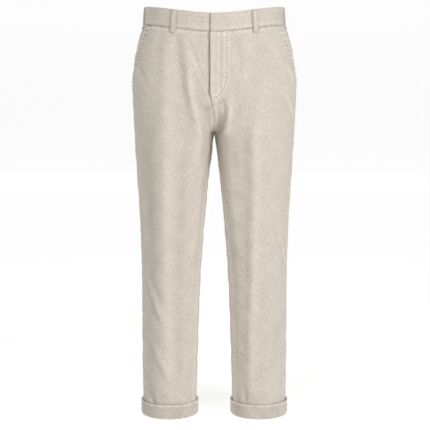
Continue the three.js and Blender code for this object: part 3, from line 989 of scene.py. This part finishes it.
# Which loop, on which side, where round the waist its middle is, and how it leans towards its foot
loop_places = [
    ("front_left", 1, 0.234, 0.04),
    ("front_right", -1, 0.234, 0.04),
    ("side_left", 1, 0.5, 0.0),
    ("side_right", -1, 0.5, 0.02),
    ("back_left", 1, 0.765, -0.03),
    ("back_right", -1, 0.765, 0.02),
    ("back_middle", 1, 1.0, 0.01),
]
loop_columns = np.array([0, 0.25, 0.6, 1.1, 1.6, 2.1, 2.6, 3.6, 5, 6, 7, 8.4, 9.4, 9.9, 10.4, 10.9,
                         11.4, 11.75, 12]) / loop_width
loop_top, loop_foot = loop_shape[0][0], loop_shape[-1][0]
loop_rows = np.concatenate([loop_top + np.array([0, 0.3, 0.7]), np.linspace(-18, 30, 40),
                            loop_foot - np.array([0.6, 0.3, 0])])
loop_stitch = 3.7
tack_rows = (-16.8, 27.6)


def loop_out(around, down):
    return curve_through(loop_shape[:, 0], loop_shape[:, 1], down)


def loop_thickness(down):
    return loop_out(0, down) - curve_through(loop_shape[:, 0], loop_shape[:, 2], down)


def loop_middle(middle, lean, down):
    return middle + lean * (down - 4) / girth(down)


def loop_relief_at(middle, lean):
    def relief(side, around, down):
        across = (around - loop_middle(middle, lean, down)) * girth(down)
        from_edge = loop_width / 2 - np.abs(across)
        face = edge_roll(from_edge, 1.3) + edge_roll(down - loop_top, 0.8) + edge_roll(loop_foot - down, 0.8)
        # A groove along each edge, which through the wear also paints shade along the loop's sides.
        face += ridge(from_edge, (0, 1.6, -0.9))
        face += ridge(np.abs(across), (loop_stitch, 0.7, -0.35))
        face += ridge(across, (0, 2.2, 0.3))
        for tack_row in tack_rows:
            face += ridge(down, (tack_row, 1.2, -0.35))
        face += 0.12 * np.sin(down / 1.9 + middle * 40) * np.sign(across)
        return np.zeros_like(face), face
    return relief


for label, side, middle, lean in loop_places:
    loop = cloth_piece(
        f"belt_loop_{label}_cloth", side, loop_rows,
        lambda down: loop_middle(middle, lean, down) - loop_width / 2 / girth(down),
        lambda down: loop_middle(middle, lean, down) + loop_width / 2 / girth(down),
        loop_columns,
        loop_relief_at(middle, lean), corduroy, thickness=loop_thickness, rise=loop_out)
    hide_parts(f"belt_loop_{label}")

# Cuffs
# The hems are turned up outside and pressed, and stand a little off the legs, with a soft rolled
# edge along the top. The legs' seams go on through them.
cuff_height = 33.5
# A cuff cut across, from the inside of its top edge: out from the leg, and up from the bottom fold
cuff_outline = [
    (0.7, cuff_height - 1.2), (1.6, cuff_height + 0.2), (3.4, cuff_height + 0.4),
    (4.8, cuff_height - 1.4), (4.7, cuff_height - 3.4), (3.9, cuff_height - 5.2),
    (4.2, 20), (4.2, 5), (2.9, 1.2), (-0.6, 0), (-3.4, 0.9), (-4.6, 4),
    (-4.6, 13), (-2.8, 13), (-2.7, 3.2), (0.7, 3.2), (1.1, 20),
]
cuff_segments = 220


def rounded_outline(corners, radius, steps, longest):
    """A closed outline with round corners, and places between them no further apart than longest."""
    spots = []
    corners = np.array(corners, dtype=float)
    count = len(corners)
    for at in range(count):
        here, before, after = corners[at], corners[at - 1], corners[(at + 1) % count]
        back_way, on_way = before - here, after - here
        back_cut = min(radius, 0.42 * np.linalg.norm(back_way))
        on_cut = min(radius, 0.42 * np.linalg.norm(on_way))
        start = here + back_way / np.linalg.norm(back_way) * back_cut
        end = here + on_way / np.linalg.norm(on_way) * on_cut
        for step in range(steps + 1):
            share = step / steps
            spots.append(mix(mix(start, here, share), mix(here, end, share), share))
        target = after - on_way / np.linalg.norm(on_way) * on_cut
        gaps = int(np.linalg.norm(target - end) / longest)
        for gap in range(1, gaps + 1):
            spots.append(mix(end, target, gap / (gaps + 1)))
    return np.array(spots)


# Low waves round a cuff: how many, their height, and their turn with the side
cuff_waves = ((5, 0.2, 1), (9, 0.12, 2))


def cuff_relief(side, around, down, out):
    up = hem_down - down
    along = around * girth(down)
    waves = 0.1 * np.sin(along / 5.2 + up / 6 + side)
    for count, height, turn in cuff_waves:
        lean = up / 14 if turn > 1 else 0
        waves = waves + height * np.sin(2 * math.pi * around * count + turn * side + lean)
    for seam in (inseam_at(down), side_seam_at(down)):
        away = (around - seam) * girth(down)
        waves = waves + puckers("cuff seam", side, away, up)
    rim = ease(cuff_height - 6, cuff_height - 2, up)
    waves = waves + 0.35 * rim * np.sin(along / 3.1 + wander(along, 3.3))
    return waves * ease(1.5, 3.2, out)


for side in (1, -1):
    ring = rounded_outline(cuff_outline, 1.1, 3, 2.0)
    around = np.arange(cuff_segments)[:, None] / cuff_segments + np.zeros(len(ring))[None, :]
    down = hem_down - ring[None, :, 1] + np.zeros_like(around)
    out = ring[None, :, 0] + np.zeros_like(around)
    place, normal = cloth(side, around, down)
    normal[..., 2] = 0
    normal /= np.linalg.norm(normal, axis=-1, keepdims=True)
    fine = cuff_relief(side, around, down, out)
    places = (place + normal * (out + fine)[..., None]).reshape(-1, 3)
    grain_map = np.stack([(around - 0.25) * girth(down), down], axis=-1).reshape(-1, 2)
    at = (np.arange(cuff_segments)[:, None] * len(ring) + np.arange(len(ring))[None, :]).ravel()
    following = (np.arange(len(ring)) + 1) % len(ring)
    next_spot = (np.arange(cuff_segments)[:, None] * len(ring) + following[None, :]).ravel()
    onward = (at + len(ring)) % (cuff_segments * len(ring))
    onward_next = (next_spot + len(ring)) % (cuff_segments * len(ring))
    faces = np.stack([at, next_spot, onward_next, onward], axis=1)
    if side < 0:
        faces = faces[:, ::-1]
    # Painted highlight along the cuff's rolled top edge, where light from above falls. The cuff's waves and
    # seam puckers are lighter where they stand up and darker where they sink, as wear and painted shade, and
    # the whole cuff is a fixed step darker.
    rim_highlight_mask = ease(cuff_height - 4, cuff_height - 2, hem_down - down)
    wear_and_shade = np.clip(fine / 1.6 - 0.3 + 0.9 * rim_highlight_mask, -1, 1).ravel()
    cuff = new_piece(f"cuff_{side_name(side)}_cloth", places, faces, corduroy, grain_map, wear_and_shade)
    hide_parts(f"cuff_{side_name(side)}")

# Stitching
# Cotton thread a shade lighter than the cloth: short stitches along the fly, the pocket mouths,
# the inseams and both edges of each loop, and close bar tacks where a seam takes the strain.
stitch_long = 2.5
stitch_pitch = 3.3
stitch_radius = 0.3
stitch_sides = 6
tack_pitch = 0.62
tack_reach = 2.0
tack_long = 2.2

thread, thread_tree, thread_surface = new_finish("cotton_thread")
thread_place = thread_tree.nodes.new("ShaderNodeTexCoord")
twist = thread_tree.nodes.new("ShaderNodeTexNoise")
set_inputs(twist, {"Scale": 900, "Detail": 2})
thread_tree.links.new(thread_place.outputs["Object"], twist.inputs["Vector"])
thread_shade = thread_tree.nodes.new("ShaderNodeMix")
thread_shade.data_type = "RGBA"
set_inputs(thread_shade, {"A": (0.47, 0.41, 0.34, 1), "B": (0.66, 0.6, 0.52, 1)})
thread_tree.links.new(twist.outputs["Fac"], thread_shade.inputs["Factor"])
thread_tree.links.new(thread_shade.outputs["Result"], thread_surface.inputs["Base Color"])
set_inputs(thread_surface, {"Roughness": 0.75, "Specular IOR Level": 0.25})


def stitches(places, normals, pitch=stitch_pitch, long=stitch_long):
    """Middles, directions and normals of the stitches along a line of places on the cloth."""
    steps = np.linalg.norm(np.diff(places, axis=0), axis=1)
    length = np.concatenate([[0], np.cumsum(steps)])
    middles = np.arange(pitch / 2, length[-1], pitch)

    def read(values, at):
        return np.stack([np.interp(at, length, values[:, axis]) for axis in range(3)], axis=1)

    run = read(places, middles + long / 2) - read(places, middles - long / 2)
    return read(places, middles), run, read(normals, middles), long


def thread_piece(name, rows):
    """All the stitches of some rows as one piece, each a short bead with both ends sunk in the cloth."""
    beads = []
    ring_at = np.array([-0.5, -0.36, 0.36, 0.5])
    ring_wide = np.array([0.35, 1, 1, 0.35])
    ring_sunk = np.array([0.3, 0.02, 0.02, 0.3])
    angle = np.arange(stitch_sides) / stitch_sides * 2 * math.pi
    for centre, run, normal, long in rows:
        run = run / np.linalg.norm(run, axis=1, keepdims=True)
        aside = np.cross(run, normal)
        aside /= np.linalg.norm(aside, axis=1, keepdims=True)
        up = np.cross(aside, run)
        spoke = np.cos(angle)[None, :, None] * up[:, None, :]
        spoke = spoke + np.sin(angle)[None, :, None] * aside[:, None, :]
        rings = (centre[:, None, None, :] + (ring_at * long)[None, :, None, None] * run[:, None, None, :]
                 + spoke[:, None, :, :] * (ring_wide * stitch_radius)[None, :, None, None]
                 + up[:, None, None, :] * (0.16 - ring_sunk)[None, :, None, None])
        beads.append(rings.reshape(len(centre), -1, 3))
    beads = np.concatenate(beads)
    each = beads.shape[1]
    quads = []
    for ring in range(3):
        for spoke in range(stitch_sides):
            a = ring * stitch_sides + spoke
            b = ring * stitch_sides + (spoke + 1) % stitch_sides
            quads.append((a, b, b + stitch_sides, a + stitch_sides))
    starts = np.arange(len(beads)) * each
    side_faces = (starts[:, None, None] + np.array(quads)[None]).reshape(-1, 4).tolist()
    first_end = (starts[:, None] + np.arange(stitch_sides)[::-1][None]).tolist()
    last_end = (starts[:, None] + each - stitch_sides + np.arange(stitch_sides)[None]).tolist()
    mesh = bpy.data.meshes.new(name)
    mesh.from_pydata((beads.reshape(-1, 3) * millimetre).tolist(), [], side_faces + first_end + last_end)
    mesh.materials.append(thread)
    piece = bpy.data.objects.new(name, mesh)
    bpy.context.collection.objects.link(piece)
    select_only(piece)
    bpy.ops.object.mode_set(mode="EDIT")
    bpy.ops.mesh.select_all(action="SELECT")
    bpy.ops.mesh.normals_make_consistent(inside=False)
    bpy.ops.object.mode_set(mode="OBJECT")
    bpy.ops.object.shade_smooth_by_angle(angle=math.radians(60))
    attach(piece, "root")
    return piece


def on_cloth(side, around, down, relief, rise=None):
    place, normal = cloth(side, around, down)
    whole, face = relief(side, around, down)
    lift = rise(around, down) if rise else 0
    return place + normal * (whole + face + lift)[..., None], normal


def tack(side, around, down, relief, rise=None):
    """A bar tack: stitches close beside each other along a short line."""
    places, normals = on_cloth(side, around, down, relief, rise)
    centre, run, normal, _ = stitches(places, normals, tack_pitch, tack_reach)
    return centre, np.cross(run, normal), normal, tack_long


across, down = fly_stitch(120)
fly_rows = [stitches(*on_cloth(1, share_at(across, down), down, front_relief))]
down = np.linspace(band_seam + 2, fly_bottom - 2, 90)
fly_rows.append(stitches(*on_cloth(1, share_at(-fly_edge + 3.4, down), down, front_relief)))
thread_piece("fly_stitching", fly_rows)

for side in (1, -1):
    down = np.linspace(band_seam + 1, mouth_bottom - 2, 90)
    pocket_line = mouth_at(down) - 6.5 / girth(down)
    pocket_stitches = [stitches(*on_cloth(side, pocket_line, down, front_relief))]
    for tack_down in (band_seam + 5, mouth_bottom - 9):
        run = np.linspace(0.8, 7, 8)
        line = mouth_at(tack_down) - run / girth(tack_down)
        pocket_stitches.append(tack(side, line, np.full_like(line, tack_down), front_relief))
    thread_piece(f"pocket_stitching_{side_name(side)}", pocket_stitches)
    down = np.linspace(fork_row + 6, leg_end - cuff_height - 1, 300)
    inseam_line = front_edge_at(side, down) + 6 / girth(down)
    inseam_stitches = [stitches(*on_cloth(side, inseam_line, down, front_relief))]
    thread_piece(f"inseam_stitching_{side_name(side)}", inseam_stitches)

for label, side, middle, lean in loop_places:
    relief = loop_relief_at(middle, lean)
    loop_stitches = []
    for edge in (-loop_stitch, loop_stitch):
        down = np.linspace(-17.5, 28, 60)
        line = loop_middle(middle, lean, down) + edge / girth(down)
        loop_stitches.append(stitches(*on_cloth(side, line, down, relief, loop_out)))
    for tack_down in tack_rows:
        run = np.linspace(-5.2, 5.2, 10)
        line = loop_middle(middle, lean, tack_down) + run / girth(tack_down)
        loop_stitches.append(tack(side, line, np.full_like(line, tack_down), relief, loop_out))
    thread_piece(f"belt_loop_stitching_{label}", loop_stitches)

bpy.context.view_layer.update()
